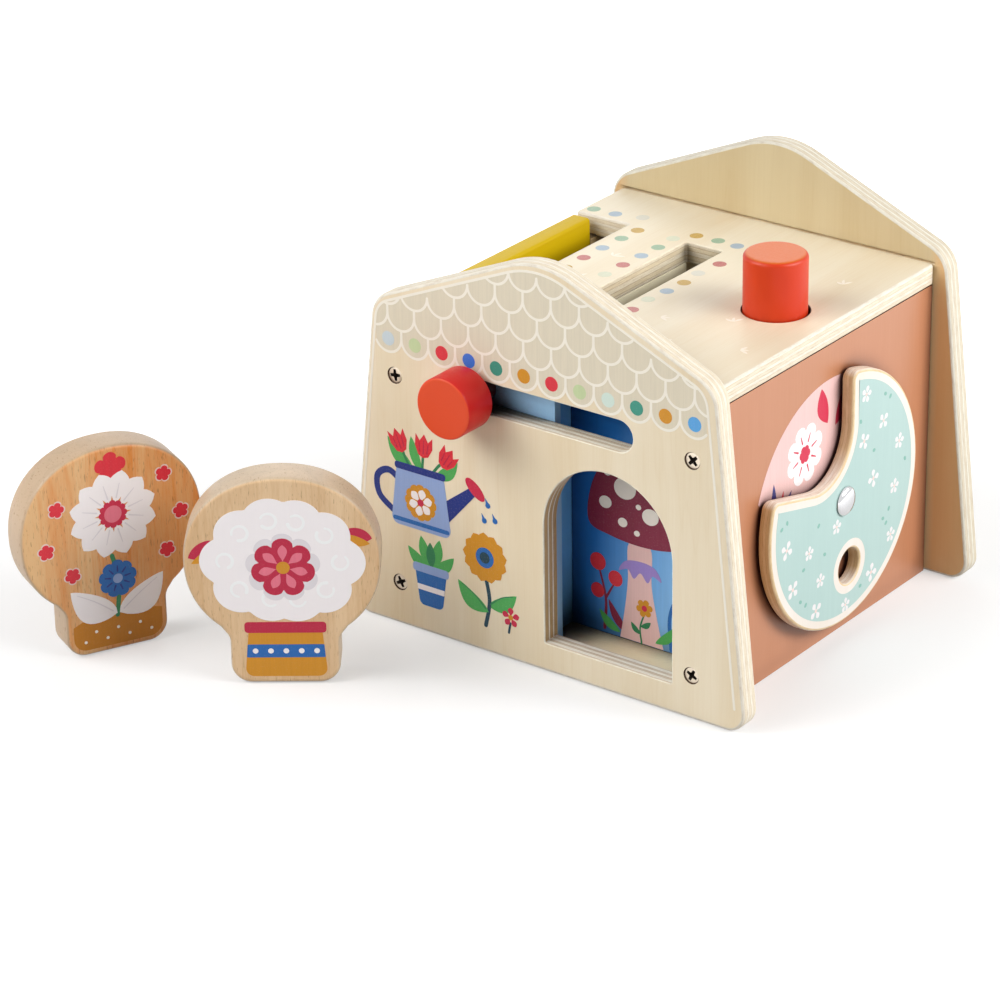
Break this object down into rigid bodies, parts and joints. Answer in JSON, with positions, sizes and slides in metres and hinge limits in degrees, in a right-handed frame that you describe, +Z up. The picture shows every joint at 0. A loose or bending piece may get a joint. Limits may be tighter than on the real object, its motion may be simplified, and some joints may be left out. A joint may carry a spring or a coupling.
{
  "type": "wooden activity house",
  "caption": "Wooden toddler activity house with a sliding door on a knob, a sprung push dowel, a turning picture plate, a swing flap, posting slots and two loose figures.",
  "frame": {"origin": "middle of the underside of the house, on the surface it stands on", "axes": "+X to the right along the front, +Y from the front to the back, +Z up"},
  "size_m": [0.2918, 0.306, 0.1819],
  "materials": {
    "plywood": "clear satin lacquer on plywood",
    "terracotta_paint": "satin terracotta paint",
    "deep_blue_print": "printed blue picture, satin",
    "mid_blue_paint": "satin blue paint",
    "yellow_paint": "satin yellow paint",
    "light_blue_paint": "satin light blue paint",
    "orange_paint": "satin orange red paint",
    "turquoise_paint": "satin turquoise print with bare rim",
    "polished_steel": "polished",
    "steel": "zinc plated",
    "beech": "clear satin lacquer on beech, printed front"
  },
  "bodies": {
    "house": {"front_gable": "plywood", "back_gable": "plywood", "roof_panel": "plywood", "floor_panel": "plywood", "left_wall": "terracotta_paint", "right_wall": "terracotta_paint", "diorama_panel": "deep_blue_print", "diorama_side": "mid_blue_paint", "spring_shelf": "plywood", "plunger_spring": "steel", "disc_spacer": "plywood", "disc_rivet": "polished_steel", "rivet_cap": "polished_steel", "flap_pin_front": "steel", "flap_pin_back": "steel", "screw_front_left_low": "steel", "screw_front_left_high": "steel", "screw_front_right_low": "steel", "screw_front_right_high": "steel", "screw_back_left_low": "steel", "screw_back_left_high": "steel", "screw_back_right_low": "steel", "screw_back_right_high": "steel"},
    "door": {"slide_door": "light_blue_paint", "knob": "orange_paint", "knob_screw": "steel"},
    "plunger_set": {"plunger": "orange_paint", "plunger_collar": "plywood", "plunger_screw": "steel"},
    "disc_set": {"disc": "turquoise_paint"},
    "flap": {"flap_door": "yellow_paint"},
    "pot_figure": {"figure_pot": "beech"},
    "daisy_figure": {"figure_daisy": "beech"}
  },
  "joints": [
    {"name": "door_slide", "type": "slide", "parent": "house", "child": "door", "axis": [1, 0, 0], "range_m": [0, 0.0696]},
    {"name": "plunger_press", "type": "slide", "parent": "house", "child": "plunger_set", "axis": [0, 0, -1], "range_m": [0, 0.02], "stiffness_N_per_m": 100, "springref_m": -0.01, "deforming": ["plunger_spring"]},
    {"name": "disc_spin", "type": "hinge", "parent": "house", "child": "disc_set", "pos_m": [0.0844, 0.0038, 0.0654], "axis": [1, 0, 0], "continuous": true},
    {"name": "flap_swing", "type": "hinge", "parent": "house", "child": "flap", "pos_m": [-0.07525, -0.0025, 0.128], "axis": [0, 1, 0], "range_deg": [0, 80]},
    {"name": "figure_pot_lift", "type": "slide", "parent": "house", "child": "pot_figure", "axis": [0, 0, 1], "range_m": [0, 0.12]},
    {"name": "figure_daisy_lift", "type": "slide", "parent": "house", "child": "daisy_figure", "axis": [0, 0, 1], "range_m": [0, 0.12]}
  ]
}
